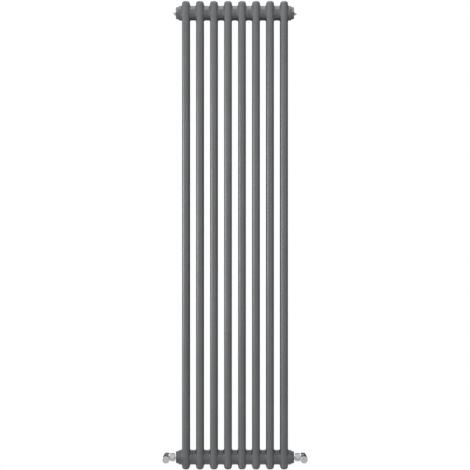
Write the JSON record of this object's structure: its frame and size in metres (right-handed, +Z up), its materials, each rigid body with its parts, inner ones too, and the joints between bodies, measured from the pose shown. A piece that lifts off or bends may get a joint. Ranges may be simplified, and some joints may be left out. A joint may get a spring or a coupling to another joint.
{
  "type": "radiator with valve",
  "caption": "Tall two-column steel radiator with rounded heads, screwed end bushes, a chrome angle valve at each end of the bottom hub, an air vent and a blanking plug.",
  "frame": {"origin": "middle of the top hub: the centre of the neck between the fourth and fifth section, on the hub axis", "axes": "+Z up along the tubes, +X along the hubs to the right as seen from the room, +Y from the room towards the wall"},
  "size_m": [0.4626, 0.102, 1.502],
  "materials": {
    "painted_steel": "satin anthracite enamel over steel, slight orange peel",
    "chrome_plate": "polished chrome over brass",
    "nickel_brass": "turned brass",
    "bare_steel": "plain turned steel",
    "rubber_seal": "matt black EPDM"
  },
  "bodies": {
    "radiator": {"section_1_top_head": "painted_steel", "section_1_bottom_head": "painted_steel", "section_1_tubes": "painted_steel", "section_2_top_head": "painted_steel", "section_2_bottom_head": "painted_steel", "section_2_tubes": "painted_steel", "section_3_top_head": "painted_steel", "section_3_bottom_head": "painted_steel", "section_3_tubes": "painted_steel", "section_4_top_head": "painted_steel", "section_4_bottom_head": "painted_steel", "section_4_tubes": "painted_steel", "section_5_top_head": "painted_steel", "section_5_bottom_head": "painted_steel", "section_5_tubes": "painted_steel", "section_6_top_head": "painted_steel", "section_6_bottom_head": "painted_steel", "section_6_tubes": "painted_steel", "section_7_top_head": "painted_steel", "section_7_bottom_head": "painted_steel", "section_7_tubes": "painted_steel", "section_8_top_head": "painted_steel", "section_8_bottom_head": "painted_steel", "section_8_tubes": "painted_steel", "top_left_bush": "painted_steel", "top_right_bush": "painted_steel", "bottom_left_bush": "painted_steel", "bottom_right_bush": "painted_steel", "hub_thread_rings": "bare_steel", "bush_seal_rings": "rubber_seal", "plug_seal_rings": "rubber_seal", "air_vent_body": "chrome_plate", "blanking_plug": "chrome_plate", "control_valve_body": "chrome_plate", "control_tail_piece": "chrome_plate", "control_union_nut": "chrome_plate", "control_union_gasket": "rubber_seal", "control_bonnet": "nickel_brass", "control_bonnet_seal": "rubber_seal", "control_gland_nut": "nickel_brass", "lockshield_valve_body": "chrome_plate", "lockshield_tail_piece": "chrome_plate", "lockshield_union_nut": "chrome_plate", "lockshield_union_gasket": "rubber_seal", "lockshield_bonnet": "nickel_brass", "lockshield_bonnet_seal": "rubber_seal", "lockshield_gland_nut": "nickel_brass"},
    "control_head_body": {"control_spindle": "nickel_brass", "control_spindle_orings": "rubber_seal", "control_head": "chrome_plate", "control_head_cover": "chrome_plate", "control_head_screw": "bare_steel"},
    "control_disc": {"control_disc_carrier": "nickel_brass", "control_disc_washer": "rubber_seal"},
    "lockshield_cap_body": {"lockshield_cap": "chrome_plate"},
    "lockshield_spindle_body": {"lockshield_spindle": "nickel_brass", "lockshield_spindle_orings": "rubber_seal"},
    "lockshield_disc": {"lockshield_disc_carrier": "nickel_brass", "lockshield_disc_washer": "rubber_seal"},
    "vent_screw": {"air_vent_screw": "chrome_plate"}
  },
  "joints": [
    {"name": "control_head_turn", "type": "hinge", "parent": "radiator", "child": "control_head_body", "pos_m": [-0.22, 0, -1.43], "axis": [0, -1, 0], "range_deg": [0, 900]},
    {"name": "control_disc_lift", "type": "slide", "parent": "radiator", "child": "control_disc", "axis": [0, -1, 0], "range_m": [0, 0.00376]},
    {"name": "lockshield_cap_off", "type": "slide", "parent": "radiator", "child": "lockshield_cap_body", "axis": [0, -1, 0], "range_m": [0, 0.045]},
    {"name": "lockshield_spindle_turn", "type": "hinge", "parent": "radiator", "child": "lockshield_spindle_body", "pos_m": [0.22, 0, -1.43], "axis": [0, -1, 0], "range_deg": [0, 901]},
    {"name": "lockshield_disc_lift", "type": "slide", "parent": "radiator", "child": "lockshield_disc", "axis": [0, -1, 0], "range_m": [0, 0.00375]},
    {"name": "vent_screw_turn", "type": "hinge", "parent": "radiator", "child": "vent_screw", "pos_m": [-0.19, 0, 0], "axis": [-1, 0, 0], "range_deg": [0, 360]}
  ],
  "couplings": [
    {"joint": "control_disc_lift", "follows": "control_head_turn", "m_per_rad": 0.00023873},
    {"joint": "lockshield_spindle_turn", "follows": "lockshield_disc_lift", "rad_per_m": 4188.8}
  ]
}
